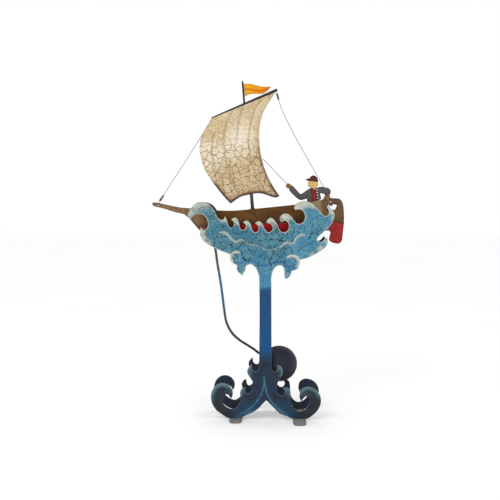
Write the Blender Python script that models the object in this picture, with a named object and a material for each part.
"""Rocking ship ornament: a painted sheet-metal ship that rocks between two wave plates.

Two identical wave plates stand on two foot bars. The ship hangs on a pivot rod between the plates and is
held upright by a ball on a long bent rod below it. Lengths in the tables are millimetres: X along the ship
from the column's centre line, with the bow at -X, Y across it, and Z up from the floor.
"""

import math

import bmesh
import bpy
from mathutils import Vector

MM = 0.001
COLUMN_X = 30.25  # moves the column so that the whole object is centred on X = 0
GAP = 0.3  # joint line between pieces that touch

SHEET = 2.0  # stand, keel and rudder sheet
THIN_SHEET = 1.2  # hull, sail and flag sheet
PLATE_SPACING = 68.0  # between the middles of the two wave plates

FOOT_LENGTH = 136.0
FOOT_WIDTH = 21.0
FOOT_THICKNESS = 2.0
FOOT_TIP = 12.0  # length of the rounding at a foot bar's ends
FOOT_PLACES = {"foot_bar_left": (-49.0, 6.0), "foot_bar_right": (57.5, -6.0)}  # X and Y of each middle

PIVOT_Z = 305.5
PIVOT_RADIUS = 2.5
BEARING_CLEARANCE = 0.08
BEARING_RADIUS = 4.2
BEARING_LENGTH = 60.0

HULL_HALF_BEAM = 23.0
MAST_FOOT = (-21.9, 0.0, 352)
MAST_TOP = (-39, 0.0, 568.7)
MAST_RADII = (2.7, 1.3)
YARD_Y = -4.1
YARD_ENDS = ((-90.8, YARD_Y, 507.0), (19.2, YARD_Y, 553.4))
YARD_RADII = (0.9, 2.1)
SAIL_BILLOW = 9.0
FLAG_WAVE = 1.6
WIRE_RADIUS = 0.55

ROD_RADIUS = 2.1
BALL_CENTRE = (23.9, 0.0, 89)
BALL_RADIUS = 30.5
BALL_WALL = 3.8

FIGURE_BACK = -1.3  # the sailor stands on the near side of the keel plate
FIGURE_SHEET = 1.5

TURN = math.radians(16)  # largest turn between two points of a smooth outline

BASE = FOOT_THICKNESS + GAP

# The wave plate, clockwise from the tip of the left curl. Each run is a smooth curve between two corners.
PLATE_RUNS = (
    # left curl, outer side
    ((-125, 335), (-128.5, 342.5), (-124.5, 353.5), (-115, 363), (-104, 365), (-93.5, 361),
     (-84.5, 350), (-79.5, 339.5), (-74, 335), (-69.5, 336)),
    ((-69.5, 336), (-67.5, 338.5), (-67, 341.5)),
    # six small waves, each with its hollow and its tip
    ((-67, 341.5), (-63.5, 333.5), (-61, 326), (-57, 322), (-52.5, 325), (-51.5, 329),
     (-53.5, 333.5), (-56.5, 335.5)),
    ((-56.5, 335.5), (-54, 338), (-50, 339), (-46, 336.5), (-43.5, 329.5), (-41.5, 321),
     (-37.5, 318), (-33.5, 320.5), (-32, 325), (-33.5, 328.5), (-36.5, 331)),
    ((-36.5, 331), (-33.5, 333.5), (-29, 333.5), (-25, 329.5), (-22.5, 321), (-19.5, 315.5),
     (-15.5, 314.5), (-12, 317), (-11, 321.5), (-12.5, 326.5), (-17, 329.5)),
    ((-17, 329.5), (-13, 332.5), (-8.5, 332.5), (-4.5, 328.5), (-1, 320), (5, 314.5),
     (10.5, 317), (12.5, 322), (10.5, 326.5), (7.5, 329), (1.5, 330.5)),
    ((1.5, 330.5), (3.5, 335), (9.5, 338.5), (15, 335), (20, 327.5), (23.5, 318.5),
     (30.5, 314.5), (36.5, 317), (39.5, 324), (37, 331.5), (32, 334), (26.5, 331)),
    ((26.5, 331), (24, 336.5), (27, 343), (33, 345.5), (39.5, 344), (46.5, 336.5),
     (51.5, 330), (57.5, 328.5), (63.5, 332.5), (66, 341), (62.5, 350), (55, 352.5), (49.5, 351.5)),
    # big right wave
    ((49.5, 351.5), (47.5, 356), (52, 362), (60, 366), (70.5, 365.5), (80, 360), (89, 350.5),
     (95, 344), (100.5, 341.5), (105, 345), (105, 350), (101.5, 357)),
    ((101.5, 357), (105, 358.5), (109, 354), (114, 347.5), (114, 339), (108.5, 327),
     (98, 316), (87.5, 306)),
    # mouth and jaw below it
    ((87.5, 306), (86, 302), (88.5, 299.5), (92.5, 298.5), (97, 301.5), (101.5, 307)),
    ((101.5, 307), (104, 300), (101.5, 292), (95, 285.5), (83, 278), (70.5, 272), (57.5, 268.5)),
    # right ball and hook under the wave
    ((57.5, 268.5), (57.5, 261), (52, 252.5), (44.5, 250.5)),
    ((44.5, 250.5), (42.5, 244.5), (38, 238.5), (32, 237.5)),
    ((32, 237.5), (32.5, 242.5), (31.5, 252), (28.5, 258), (23.5, 259.5), (17.5, 256.5),
     (12.5, 248.5), (10, 236), (10, 218.5)),
    ((10, 218.5), (10.5, 94)),
    # right leg
    ((10.5, 94), (11.5, 86), (15.5, 81), (19.5, 83.5), (20, 89), (20, 92.5)),
    ((20, 92.5), (25.5, 91), (30, 82.5), (27.5, 73.5), (22, 65), (19, 54.5), (19.5, 48),
     (24, 42), (29.5, 41), (33.5, 46), (33, 50), (29.5, 53)),
    ((29.5, 53), (35, 55), (41, 51.5), (43, 43.5), (43.5, 30.5), (47.5, 20.5), (54.5, 15), (61.5, 15),
     (70, 20.5), (75, 29), (75.5, 36), (72, 40), (67, 39.5), (62.5, 34.5), (60.5, 31)),
    ((60.5, 31), (57.5, 39.5), (60, 50.5), (67.5, 55.5), (77.5, 55), (87, 49.5), (92.5, 40.5),
     (93, 28), (87.5, 16), (79, 7.5), (71, BASE)),
    ((71, BASE), (46, BASE)),
    ((46, BASE), (36, 6.5), (25, 10.5), (14, 21), (2, 33)),
    # left leg
    ((2, 33), (-4, 27), (-12, 18.5), (-25, 10), (-33.5, 6.5), (-40, BASE)),
    ((-40, BASE), (-61, BASE)),
    ((-61, BASE), (-70, 7), (-80.5, 14.5), (-88.5, 26), (-91, 39), (-87.5, 51.5), (-79, 59.5),
     (-69, 61), (-60, 57), (-54.5, 48.5), (-55, 39.5), (-57.5, 35)),
    ((-57.5, 35), (-60.5, 40.5), (-64.5, 43), (-68, 41), (-71, 33), (-71, 27),
     (-64.5, 21), (-55, 17.5), (-46, 22), (-42, 30.5), (-41, 38.5), (-42, 46), (-38.5, 52.5),
     (-33.5, 54.5)),
    ((-33.5, 54.5), (-33.5, 49), (-31, 44), (-27, 43.5), (-23, 48), (-20.5, 56), (-21, 64.5),
     (-26, 72), (-30, 80.5), (-27.5, 88.5), (-22, 93.5)),
    ((-22, 93.5), (-22.5, 89.5), (-21, 84), (-16, 81), (-12.5, 82.5), (-10, 94)),
    ((-10, 94), (-10, 218.5)),
    # left hook and ball under the wave
    ((-10, 218.5), (-10, 237), (-14, 251.5), (-20, 259.5), (-26, 261), (-32, 258), (-35, 250),
     (-37, 243)),
    ((-37, 243), (-43, 246), (-47.5, 253), (-47, 260)),
    ((-47, 260), (-53.5, 262.5), (-58.5, 269.5), (-58, 277.5)),
    # lower left edge, spike and the curl's inner side
    ((-58, 277.5), (-75.5, 284.5), (-91, 292), (-103, 300.5), (-108.5, 311), (-108, 318.5),
     (-107, 323.5)),
    ((-107, 323.5), (-104, 319), (-100.5, 318), (-96.5, 321.5), (-95, 328), (-97, 336.5),
     (-103, 343.5), (-112, 345), (-120, 342), (-125, 335)),
)

RUDDER_FRONT = 106.7
KEEL_STERN = RUDDER_FRONT - GAP

# The keel plate: bowsprit, stem, keel and stern post in one sheet, clockwise from the bowsprit's tip.
KEEL_RUNS = (
    ((-191, 358.5), (-193.5, 361.5), (-192, 364), (-188.5, 364.5), (-180, 363),
     (-163, 359.5), (-146, 356), (-128.5, 354.5), (-118, 353), (-94.5, 349), (-54.5, 347.5),
     (-19.5, 351), (30.5, 355), (70, 359.5), (88, 363.5), (97, 370), (KEEL_STERN, 371.5)),
    ((KEEL_STERN, 371.5), (KEEL_STERN, 359)),
    ((KEEL_STERN, 359), (103.5, 356), (103.5, 352), (KEEL_STERN, 349.5)),
    ((KEEL_STERN, 349.5), (KEEL_STERN, 317)),
    ((KEEL_STERN, 317), (98.5, 315.5), (86.5, 311), (70.5, 304), (45.5, 296), (0.5, 291),
     (-49.5, 294), (-84.5, 302.5), (-101.5, 310), (-112, 317), (-119.5, 325), (-126.5, 333.5),
     (-132.5, 339.5), (-140, 344.5), (-154.5, 348), (-171.5, 353.5), (-191, 358.5)),
)
BOWSPRIT_HOLE = (-182.8, 359.9)
STAY_HOLE_RADIUS = 1.4

# The rudder: a blade with an arm that reaches forward over an open notch to the stern post.
RUDDER_RUNS = (
    ((RUDDER_FRONT, 372), (117, 371.5), (125, 370.5), (129.5, 366), (132, 357), (133, 343.5),
     (133, 329.5), (131.5, 314.5), (130, 301.5), (127, 296), (122, 294.5), (113.5, 296.5),
     (109, 299), (108, 302), (109.5, 309.5), (110, 314.5), (RUDDER_FRONT, 316.5)),
    ((RUDDER_FRONT, 316.5), (RUDDER_FRONT, 348)),
    ((RUDDER_FRONT, 348), (113, 352.5)),
    ((113, 352.5), (118, 352)),
    ((118, 352), (121, 360)),
    ((121, 360), (114.5, 361.5)),
    ((114.5, 361.5), (112.5, 358)),
    ((112.5, 358), (RUDDER_FRONT, 360)),
    ((RUDDER_FRONT, 360), (RUDDER_FRONT, 372)),
)
RUDDER_HOLE = (110.3, 365.8)

# Hull side: its four edges, each from the bow aft or from the keel up.
HULL_TOP = ((-126.5, 353.5), (-81.5, 351), (-54.5, 350.5), (-19.5, 353.5), (20.5, 357.5), (60, 362), (95, 369))
HULL_BOTTOM = ((-109.5, 318.5), (-84.5, 305), (-49.5, 296.5), (0.5, 293.5), (45.5, 298), (72.5, 306.5), (95.5, 316))
HULL_BOW = ((-109.5, 318.5), (-120.5, 331.5), (-126.5, 353.5))
HULL_STERN = ((95.5, 316), (95, 369))

# Sail: its top edge follows the yard, its two sides curve towards the bow.
SAIL_TOP = ((-90.5, 505.5), (16.5, 549))
SAIL_BOTTOM = ((-59, 362.5), (-50.5, 368.5), (-42, 374), (-25.5, 378), (-12, 380),
               (1, 377.5), (10, 374), (18.5, 372.5), (24, 375))
SAIL_LUFF = ((-90.5, 505.5), (-100.5, 490.5), (-109, 470), (-110.5, 450.5), (-103.5, 423),
             (-87.5, 396.5), (-67, 370.5), (-59, 362.5))
SAIL_LEECH = ((16.5, 549), (9, 537.5), (-3, 517.5), (-9.5, 493.5), (-10.5, 467.5), (-6.5, 438.5),
              (1, 415), (12.5, 392), (24, 375))

FLAG_TOP = ((-37, 564), (-30, 565), (-23, 564), (-9.5, 560), (-3, 559), (9, 559.5))
FLAG_BOTTOM = ((-35, 543.5), (-26.5, 547.5), (-19.5, 548), (-11, 547.5), (-4.5, 548),
               (0.5, 550.5), (8.5, 558.5))
FLAG_HOIST = ((-37, 564), (-35, 543.5))
FLAG_FLY = ((9, 559.5), (8.5, 558.5))

# Sailor: jacket with both sleeves, clockwise from the raised cuff's upper corner.
JACKET_RUNS = (
    ((44.1, 394), (49.1, 389.4), (54.4, 383.3), (59.2, 378.7), (62.4, 379.7), (68.5, 384.1),
     (75.5, 388.5), (79.6, 388.3), (82.4, 386.5), (85.6, 388.7), (89.5, 390), (94.8, 390.7),
     (102.7, 389.6), (107.1, 388.1), (109.9, 384.8), (109.7, 379.7), (107.7, 376.1)),
    ((107.7, 376.1), (100.1, 376.3)),
    ((100.1, 376.3), (99.5, 378.5), (92.3, 380)),
    ((92.3, 380), (94.3, 370.4)),
    ((94.3, 370.4), (89.7, 367.6)),
    ((89.7, 367.6), (83.2, 360.7)),
    ((83.2, 360.7), (70.8, 359.7)),
    ((70.8, 359.7), (70, 370.8)),
    ((70, 370.8), (64.7, 369.2), (58.8, 368.5), (55.2, 370.2), (50, 374.5), (43.8, 380.6), (39.6, 385.7)),
    ((39.6, 385.7), (44.1, 394)),
)
SHIRT_RUNS = (
    ((78.3, 387.5), (82.3, 385.9)),
    ((82.3, 385.9), (85, 376.2), (85.9, 366.8)),
    ((85.9, 366.8), (79.5, 366.6)),
    ((79.5, 366.6), (78.3, 387.5)),
)
BUTTONS = ((87, 385.8), (87.3, 381.1), (87.9, 376.4), (88.3, 371.7))
BUTTON_RADIUS = 1.2
HEAD_RUNS = (
    ((72.7, 400), (71.7, 394.6), (73.4, 390.7), (77.9, 389)),
    ((77.9, 389), (82.4, 387.5), (86.5, 389.7)),
    ((86.5, 389.7), (89, 394.6), (88.7, 398.7)),
    ((88.7, 398.7), (72.7, 400)),
)
CAP_RUNS = (
    ((67.3, 402.5), (70.3, 404.4), (74.4, 405.2)),
    ((74.4, 405.2), (76.3, 408.3), (80, 410), (84, 409.2), (87.6, 405.6), (89.1, 399.4)),
    ((89.1, 399.4), (80.1, 401), (72.1, 400.9), (67.3, 402.5)),
)
HAND_FORE = (38.5, 392.6)
HAND_RADIUS = 3.8
HAND_AFT_RUNS = (
    ((100.1, 375.9), (107.4, 375.7)),
    ((107.4, 375.7), (108.7, 372.2), (107, 368.6), (101.9, 368.4), (98.7, 371.8), (100.1, 375.9)),
)

ROD_PATH = ((-89.4, 303.0), (-85.5, 285), (-82, 259.5), (-78.5, 239.5), (-75, 216), (-70, 177),
            (-67.5, 162), (-63, 150.5), (-55.5, 139), (-43, 128), (-31, 120.5), (-20, 113.5),
            (-11.5, 107))

# Stay wires, as X, Y, Z. Each goes through its hole and turns up on the near side.
FORE_STAY = ((-183.8, -1.8, 365.5), (-183.3, -1.9, 361.6), (-182.9, 0.0, 359.8), (-182.4, 1.9, 361.5),
             (-181.2, 1.7, 365.9), (-174, 0.6, 376.8), (-120, -0.4, 459.4), (-110.4, -0.9, 474.4),
             (-91.4, -2.2, 505.6))
BACK_STAY = ((111.5, -1.8, 373.4), (111, -1.9, 367.6), (110.5, 0.0, 365.8), (109.8, 1.9, 367.6),
             (107.8, 1.7, 372.6), (98.7, 0.6, 390.1), (80.1, 0.3, 422.5), (56.1, 0.2, 464.7), (32.7, 0.0, 509.4),
             (24.8, -0.2, 528.7), (18.5, -0.7, 549.6))
HAND_LINE = ((-4.5, -12.6, 437.4), (8.3, -10.2, 424.7), (17.8, -7.8, 414.5), (27.3, -5.6, 404.9),
             (36.4, -3.6, 396.3))
# Each lashing is a coil around one end of a wire: the wire's table, the span, and where it starts and ends.
LASHINGS = {
    "fore_stay_lashing": (FORE_STAY, 4, 0.15, 1.0),
    "back_stay_lashing": (BACK_STAY, 4, 0.15, 0.75),
    "yard_lashing": (BACK_STAY, 9, 0.45, 0.92),
}
LASHING_WIRE = 0.4
LASHING_TURNS = 7

COLOURS = {
    "wave_paint": (0.08, 0.25, 0.38),
    "bare_steel": (0.2, 0.2, 0.19),
    "hull_paint": (0.13, 0.07, 0.03),
    "rudder_paint": (0.36, 0.04, 0.03),
    "spar_paint": (0.04, 0.04, 0.05),
    "sail_paint": (0.68, 0.54, 0.36),
    "flag_paint": (0.8, 0.3, 0.02),
    "ball_paint": (0.02, 0.02, 0.03),
    "wire_steel": (0.3, 0.3, 0.29),
    "cap_paint": (0.08, 0.03, 0.03),
    "skin_paint": (0.6, 0.4, 0.16),
    "jacket_paint": (0.08, 0.07, 0.06),
    "shirt_paint": (0.38, 0.05, 0.04),
    "button_paint": (0.7, 0.65, 0.5),
}


def clear_scene():
    for item in list(bpy.data.objects):
        bpy.data.objects.remove(item, do_unlink=True)


def material(name):
    made = bpy.data.materials.get(name)
    if made is None:
        made = bpy.data.materials.new(name)
        made.use_nodes = True
        made.node_tree.nodes["Principled BSDF"].inputs["Base Color"].default_value = (*COLOURS[name], 1.0)
    return made


def world(x, y, z):
    return Vector(((x + COLUMN_X) * MM, y * MM, z * MM))


def blend(a, b, t):
    return tuple(p + (q - p) * t for p, q in zip(a, b))


def spline_point(points, t):
    """Centripetal curve through the points; t counts spans."""
    span = min(int(t), len(points) - 2)
    t -= span
    p1, p2 = Vector(points[span]), Vector(points[span + 1])
    p0 = Vector(points[span - 1]) if span > 0 else 2 * p1 - p2
    p3 = Vector(points[span + 2]) if span + 2 < len(points) else 2 * p2 - p1
    k0, k1, k2 = (math.sqrt((b - a).length) for a, b in ((p0, p1), (p1, p2), (p2, p3)))
    m1 = ((p1 - p0) / k0 - (p2 - p0) / (k0 + k1) + (p2 - p1) / k1) * k1
    m2 = ((p2 - p1) / k1 - (p3 - p1) / (k1 + k2) + (p3 - p2) / k2) * k1
    a = 2 * (p1 - p2) + m1 + m2
    b = 3 * (p2 - p1) - 2 * m1 - m2
    return p1 + t * (m1 + t * (b + t * a))


def smooth(points):
    """Points along the curve, with one every TURN of direction. The last point is left out."""
    if len(points) == 2:
        return [Vector(points[0])]
    out = []
    for span in range(len(points) - 1):
        fine = [spline_point(points, span + i / 8) for i in range(9)]
        steps = [b - a for a, b in zip(fine, fine[1:])]
        turn = sum(a.angle(b) for a, b in zip(steps, steps[1:]))
        count = max(1, math.ceil(turn / TURN))
        out += [spline_point(points, span + i / count) for i in range(count)]
    return out


def resample(points, count):
    """count + 1 points evenly spaced along the curve."""
    if len(points) == 2:
        return [Vector(blend(points[0], points[1], i / count)) for i in range(count + 1)]
    fine = [spline_point(points, i * (len(points) - 1) / 400) for i in range(401)]
    lengths = [0.0]
    for a, b in zip(fine, fine[1:]):
        lengths.append(lengths[-1] + (b - a).length)
    out, k = [], 0
    for i in range(count + 1):
        want = lengths[-1] * i / count
        while k < 399 and lengths[k + 1] < want:
            k += 1
        out.append(fine[k].lerp(fine[k + 1], (want - lengths[k]) / (lengths[k + 1] - lengths[k])))
    return out


def make_object(name, points, faces, paint):
    """One closed piece from points in millimetres and its faces."""
    mesh = bpy.data.meshes.new(name)
    mesh.from_pydata([world(*p) for p in points], [], faces)
    cleaned = bmesh.new()
    cleaned.from_mesh(mesh)
    bmesh.ops.recalc_face_normals(cleaned, faces=cleaned.faces)
    cleaned.to_mesh(mesh)
    cleaned.free()
    mesh.materials.append(material(paint))
    piece = bpy.data.objects.new(name, mesh)
    bpy.context.scene.collection.objects.link(piece)
    return piece


def rings_object(name, rings, paint):
    """Skin over rings with equal counts of points, closed by a face at each end."""
    n = len(rings[0])
    points = [p for ring in rings for p in ring]
    faces = []
    for i in range(len(rings) - 1):
        for j in range(n):
            k = (j + 1) % n
            faces.append((i * n + j, i * n + k, (i + 1) * n + k, (i + 1) * n + j))
    faces.append(tuple(range(n)))
    faces.append(tuple((len(rings) - 1) * n + j for j in range(n)))
    return make_object(name, points, faces, paint)


def flat_piece(name, runs, y_low, y_high, paint):
    """Sheet cut to an outline in X and Z."""
    outline = [p for run in runs for p in smooth(run)]
    rings = [[(p.x, y, p.y) for p in outline] for y in (y_low, y_high)]
    return rings_object(name, rings, paint)


def cushion(name, outline, y_low, y_high, paint, inset=0.75):
    """Piece cut to an outline, with its front and back edges rounded over."""
    centre = sum(outline, Vector((0, 0))) / len(outline)
    depth = y_high - y_low
    levels = ((0.0, inset), (0.12, (1 + inset) / 2), (0.32, 1.0), (0.68, 1.0), (0.88, (1 + inset) / 2),
              (1.0, inset))
    rings = []
    for level, scale in levels:
        ring = [centre + (p - centre) * scale for p in outline]
        rings.append([(p.x, y_low + level * depth, p.y) for p in ring])
    return rings_object(name, rings, paint)


def circle(centre, radius, count):
    angles = [2 * math.pi * i / count for i in range(count)]
    return [Vector((centre[0] + radius * math.cos(a), centre[1] + radius * math.sin(a))) for a in angles]


def tube_rings(path, radii, sides):
    """Rings along a path of 3-D points, carried without twist."""
    tangents = []
    for i in range(len(path)):
        tangents.append((path[min(i + 1, len(path) - 1)] - path[max(i - 1, 0)]).normalized())
    side = tangents[0].orthogonal().normalized()
    rings = []
    for point, tangent, radius in zip(path, tangents, radii):
        side = (side - tangent * side.dot(tangent)).normalized()
        other = tangent.cross(side)
        angles = [2 * math.pi * j / sides for j in range(sides)]
        rings.append([point + radius * (math.cos(a) * side + math.sin(a) * other) for a in angles])
    return rings


def tube(name, path, radii, sides, paint):
    return rings_object(name, tube_rings(path, radii, sides), paint)


def pipe(name, start, end, outer, inner, sides, paint):
    """Straight pipe, open at both ends."""
    path = [Vector(start), Vector(end)]
    outside = tube_rings(path, (outer, outer), sides)
    inside = tube_rings(path, (inner, inner), sides)
    points = outside[0] + outside[1] + inside[1] + inside[0]
    faces = []
    for i in range(4):
        m = (i + 1) % 4
        for j in range(sides):
            k = (j + 1) % sides
            faces.append((i * sides + j, i * sides + k, m * sides + k, m * sides + j))
    return make_object(name, points, faces, paint)


def cut(piece, name, start, end, radius):
    """Drill a round hole through a piece."""
    path = [Vector(start), Vector(end)]
    cutter = tube(name, path, (radius, radius), 20, "bare_steel")
    cutter.hide_render = True
    cutter.display_type = "WIRE"
    hole = piece.modifiers.new(name, "BOOLEAN")
    hole.operation = "DIFFERENCE"
    hole.solver = "EXACT"
    hole.object = cutter


def patch(top, bottom, left, right, across, down):
    """Grid of X, Z points between four edge curves."""
    upper, lower = resample(top, across), resample(bottom, across)
    port, starboard = resample(left, down), resample(right, down)
    grid = []
    for i in range(down + 1):
        t = i / down
        row = []
        for j in range(across + 1):
            s = j / across
            edges = upper[j] * (1 - t) + lower[j] * t + port[i] * (1 - s) + starboard[i] * s
            corners = (upper[0] * (1 - s) + upper[-1] * s) * (1 - t) + (lower[0] * (1 - s) + lower[-1] * s) * t
            row.append(edges - corners)
        grid.append(row)
    return grid


def curved_sheet(name, front, back, paint):
    """Sheet between two grids of 3-D points."""
    rows, columns = len(front), len(front[0])
    points = [p for grid in (front, back) for row in grid for p in row]

    def at(layer, i, j):
        return layer * rows * columns + i * columns + j

    faces = []
    for layer in (0, 1):
        for i in range(rows - 1):
            for j in range(columns - 1):
                faces.append((at(layer, i, j), at(layer, i, j + 1), at(layer, i + 1, j + 1),
                              at(layer, i + 1, j)))
    rim = [(0, j) for j in range(columns)]
    rim += [(i, columns - 1) for i in range(1, rows)]
    rim += [(rows - 1, j) for j in range(columns - 2, -1, -1)]
    rim += [(i, 0) for i in range(rows - 2, 0, -1)]
    for a, b in zip(rim, rim[1:] + rim[:1]):
        faces.append((at(0, *a), at(0, *b), at(1, *b), at(1, *a)))
    return make_object(name, points, faces, paint)


def build_stand():
    half = SHEET / 2
    for name, side in (("wave_plate_front", -1), ("wave_plate_rear", 1)):
        middle = side * PLATE_SPACING / 2
        flat_piece(name, PLATE_RUNS, middle - half, middle + half, "wave_paint")
    for name, (x, y) in FOOT_PLACES.items():
        build_foot(name, x, y)
    reach = PLATE_SPACING / 2 - half - GAP
    ends = [Vector((0, -reach, PIVOT_Z)), Vector((0, reach, PIVOT_Z))]
    tube("pivot_rod", ends, (PIVOT_RADIUS, PIVOT_RADIUS), 32, "bare_steel")


def build_foot(name, x, y):
    """Flat bar across both plates, with a rounded tongue at each end."""
    half, wide = FOOT_LENGTH / 2, FOOT_WIDTH / 2
    tongue = []
    for i in range(9):
        a = math.pi / 2 * i / 8
        tongue.append((wide * math.cos(a) ** 0.8, half - FOOT_TIP + FOOT_TIP * math.sin(a) ** 0.9))
    outline = tongue + [(-dx, dy) for dx, dy in reversed(tongue[:-1])]
    outline += [(-dx, -dy) for dx, dy in outline]
    rings = [[(x + dx, y + dy, z) for dx, dy in outline] for z in (0.0, FOOT_THICKNESS)]
    rings_object(name, rings, "bare_steel")


def build_keel():
    half = SHEET / 2
    keel = flat_piece("keel_plate", KEEL_RUNS, -half, half, "hull_paint")
    rudder = flat_piece("rudder", RUDDER_RUNS, -half, half, "rudder_paint")
    for piece, name, (x, z), radius in (
        (keel, "bowsprit_hole", BOWSPRIT_HOLE, STAY_HOLE_RADIUS),
        (keel, "bearing_hole", (0.0, PIVOT_Z), BEARING_RADIUS + GAP),
        (rudder, "rudder_hole", RUDDER_HOLE, STAY_HOLE_RADIUS),
    ):
        cut(piece, name, (x, -5, z), (x, 5, z), radius)
    pipe("bearing_tube", (0, -BEARING_LENGTH / 2, PIVOT_Z), (0, BEARING_LENGTH / 2, PIVOT_Z),
         BEARING_RADIUS, PIVOT_RADIUS + BEARING_CLEARANCE, 32, "bare_steel")


def build_hull_side(name, side):
    """Curved side sheet: upright at the top edge, rounded in towards the keel."""
    across, down = 34, 8
    flat = patch(HULL_TOP, HULL_BOTTOM, tuple(reversed(HULL_BOW)), tuple(reversed(HULL_STERN)), across, down)
    inner = []
    for i in range(down + 1):
        angle = math.pi / 2 * (1 - i / down)
        row = []
        for j in range(across + 1):
            station = down * math.cos(angle) ** 0.9
            above = min(int(station), down - 1)
            level = flat[above][j].lerp(flat[above + 1][j], station - above)
            breadth = HULL_HALF_BEAM * max(0.0, math.sin(math.pi * (j / across) ** 0.9)) ** 0.75
            y = SHEET / 2 + GAP + breadth * math.sin(angle)
            row.append(Vector((level.x, side * y, level.y)))
        inner.append(row)
    outer = []
    for i in range(down + 1):
        row = []
        for j in range(across + 1):
            along = inner[i][min(j + 1, across)] - inner[i][max(j - 1, 0)]
            up = inner[max(i - 1, 0)][j] - inner[min(i + 1, down)][j]
            normal = along.cross(up).normalized()
            if normal.y * side < 0 or (abs(normal.y) < 1e-3 and normal.z > 0):
                normal = -normal
            shifted = inner[i][j] + normal * THIN_SHEET
            row.append(shifted)
        outer.append(row)
    hull = curved_sheet(name, inner, outer, "hull_paint")
    cut(hull, name + "_bearing_hole", (0, side * 2, PIVOT_Z), (0, side * 30, PIVOT_Z), BEARING_RADIUS + GAP)


def build_rig():
    mast = [Vector(MAST_FOOT), Vector(MAST_TOP)]
    tube("mast", [mast[0].lerp(mast[1], i / 6) for i in range(7)],
         [MAST_RADII[0] + (MAST_RADII[1] - MAST_RADII[0]) * i / 6 for i in range(7)], 16, "spar_paint")
    foot = mast[0].lerp(mast[1], 0.012)
    pipe("mast_step", mast[0] + Vector((0, 0, 0.2)), foot, 4.4, MAST_RADII[0] + GAP, 20, "spar_paint")
    yard = [Vector(end) for end in YARD_ENDS]
    tube("yard", [yard[0].lerp(yard[1], i / 6) for i in range(7)],
         [YARD_RADII[0] + (YARD_RADII[1] - YARD_RADII[0]) * i / 6 for i in range(7)], 12, "spar_paint")
    build_sail()
    build_flag()


def build_sail():
    across, down = 14, 16
    flat = patch(SAIL_TOP, SAIL_BOTTOM, SAIL_LUFF, SAIL_LEECH, across, down)
    layers = []
    for offset in (-THIN_SHEET / 2, THIN_SHEET / 2):
        grid = []
        for i, row in enumerate(flat):
            y = YARD_Y - SAIL_BILLOW * math.sin(math.pi * (i / down) ** 0.85) + offset
            grid.append([Vector((p.x, y, p.y)) for p in row])
        layers.append(grid)
    curved_sheet("sail", layers[0], layers[1], "sail_paint")


def build_flag():
    across, down = 12, 4
    flat = patch(FLAG_TOP, FLAG_BOTTOM, FLAG_HOIST, FLAG_FLY, across, down)
    layers = []
    for offset in (-THIN_SHEET / 2, THIN_SHEET / 2):
        grid = []
        for row in flat:
            wave = [FLAG_WAVE * math.sin(2 * math.pi * j / across) for j in range(across + 1)]
            grid.append([Vector((p.x, w + offset, p.y)) for p, w in zip(row, wave)])
        layers.append(grid)
    curved_sheet("flag", layers[0], layers[1], "flag_paint")


def build_wires():
    for name, path in (("fore_stay", FORE_STAY), ("back_stay", BACK_STAY), ("hand_line", HAND_LINE)):
        spans = (len(path) - 1) * 5
        points = [spline_point(path, (len(path) - 1) * i / spans) for i in range(spans + 1)]
        tube(name, points, [WIRE_RADIUS] * len(points), 6, "wire_steel")
    for name, (path, first, begin, end) in LASHINGS.items():
        build_lashing(name, path, first, begin, end)


def build_lashing(name, path, first, begin, end):
    """Coil of finer wire wound around one end of a stay."""
    radius = WIRE_RADIUS + GAP + LASHING_WIRE
    steps = LASHING_TURNS * 8
    start = spline_point(path, first + begin)
    finish = spline_point(path, first + end)
    axis = (finish - start).normalized()
    side = axis.orthogonal().normalized()
    other = axis.cross(side)
    coil = []
    for i in range(steps + 1):
        centre = spline_point(path, first + begin + (end - begin) * i / steps)
        a = 2 * math.pi * LASHING_TURNS * i / steps
        coil.append(centre + radius * (math.cos(a) * side + math.sin(a) * other))
    tube(name, coil, [LASHING_WIRE] * len(coil), 5, "spar_paint")


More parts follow.
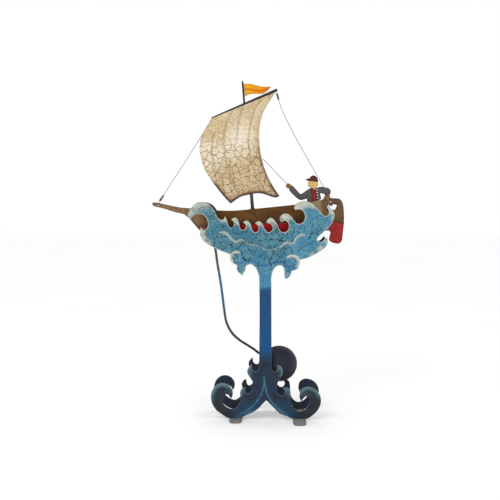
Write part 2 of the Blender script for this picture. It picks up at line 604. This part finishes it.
def build_sailor():
    back, front = FIGURE_BACK, FIGURE_BACK - FIGURE_SHEET
    flat_piece("sailor_jacket", JACKET_RUNS, front, back, "jacket_paint")
    flat_piece("sailor_shirt", SHIRT_RUNS, front - GAP - 0.8, front - GAP, "shirt_paint")
    for number, centre in enumerate(BUTTONS, 1):
        outline = circle(centre, BUTTON_RADIUS, 12)
        cushion(f"sailor_button_{number}", outline, front - GAP - 1.0, front - GAP, "button_paint", 0.6)
    head = [p for run in HEAD_RUNS for p in smooth(run)]
    cushion("sailor_head", head, front - 3.6, back - 0.1, "skin_paint", 0.62)
    cap = [p for run in CAP_RUNS for p in smooth(run)]
    cushion("sailor_cap", cap, front - 4.0, back - 0.1, "cap_paint", 0.8)
    cushion("sailor_hand_fore", circle(HAND_FORE, HAND_RADIUS, 20), front - 1.0, back, "skin_paint", 0.7)
    hand = [p for run in HAND_AFT_RUNS for p in smooth(run)]
    cushion("sailor_hand_aft", hand, front - 1.2, back - 0.2, "skin_paint", 0.7)


def build_counterweight():
    centre = Vector(BALL_CENTRE)
    path = [Vector((x, 0, z)) for x, z in ROD_PATH]
    heading = (centre - path[-1]).normalized()
    path.append(centre - heading * (BALL_RADIUS - BALL_WALL / 2))
    spans = (len(path) - 1) * 3
    points = [spline_point(path, (len(path) - 1) * i / spans) for i in range(spans + 1)]
    tube("counterweight_rod", points, [ROD_RADIUS] * len(points), 10, "spar_paint")
    build_ball(centre, -heading)


def build_ball(centre, towards_rod):
    """Hollow ball with one hole for the rod, turned about the rod's end direction."""
    hole = ROD_RADIUS + GAP
    side = towards_rod.orthogonal().normalized()
    other = towards_rod.cross(side)
    profile = []
    for radius, rows in ((BALL_RADIUS, 16), (BALL_RADIUS - BALL_WALL, 8)):
        lip = math.asin(hole / radius)
        arc = [lip + (math.pi - lip) * i / rows for i in range(rows)]
        profile.append([(radius * math.sin(a), radius * math.cos(a)) for a in arc])
    stations = list(reversed(profile[0])) + profile[1]
    sides = 32
    points, faces = [], []
    for r, h in stations:
        for j in range(sides):
            a = 2 * math.pi * j / sides
            points.append(centre + towards_rod * h + r * (math.cos(a) * side + math.sin(a) * other))
    for i in range(len(stations) - 1):
        for j in range(sides):
            k = (j + 1) % sides
            faces.append((i * sides + j, i * sides + k, (i + 1) * sides + k, (i + 1) * sides + j))
    poles = ((0, BALL_RADIUS), (len(stations) - 1, BALL_RADIUS - BALL_WALL))
    for ring, radius in poles:
        points.append(centre - towards_rod * radius)
        pole = len(points) - 1
        for j in range(sides):
            faces.append((ring * sides + j, ring * sides + (j + 1) % sides, pole))
    make_object("counterweight_ball", points, faces, "ball_paint")


clear_scene()
build_stand()
build_keel()
build_hull_side("hull_side_port", -1)
build_hull_side("hull_side_starboard", 1)
build_rig()
build_wires()
build_sailor()
build_counterweight()
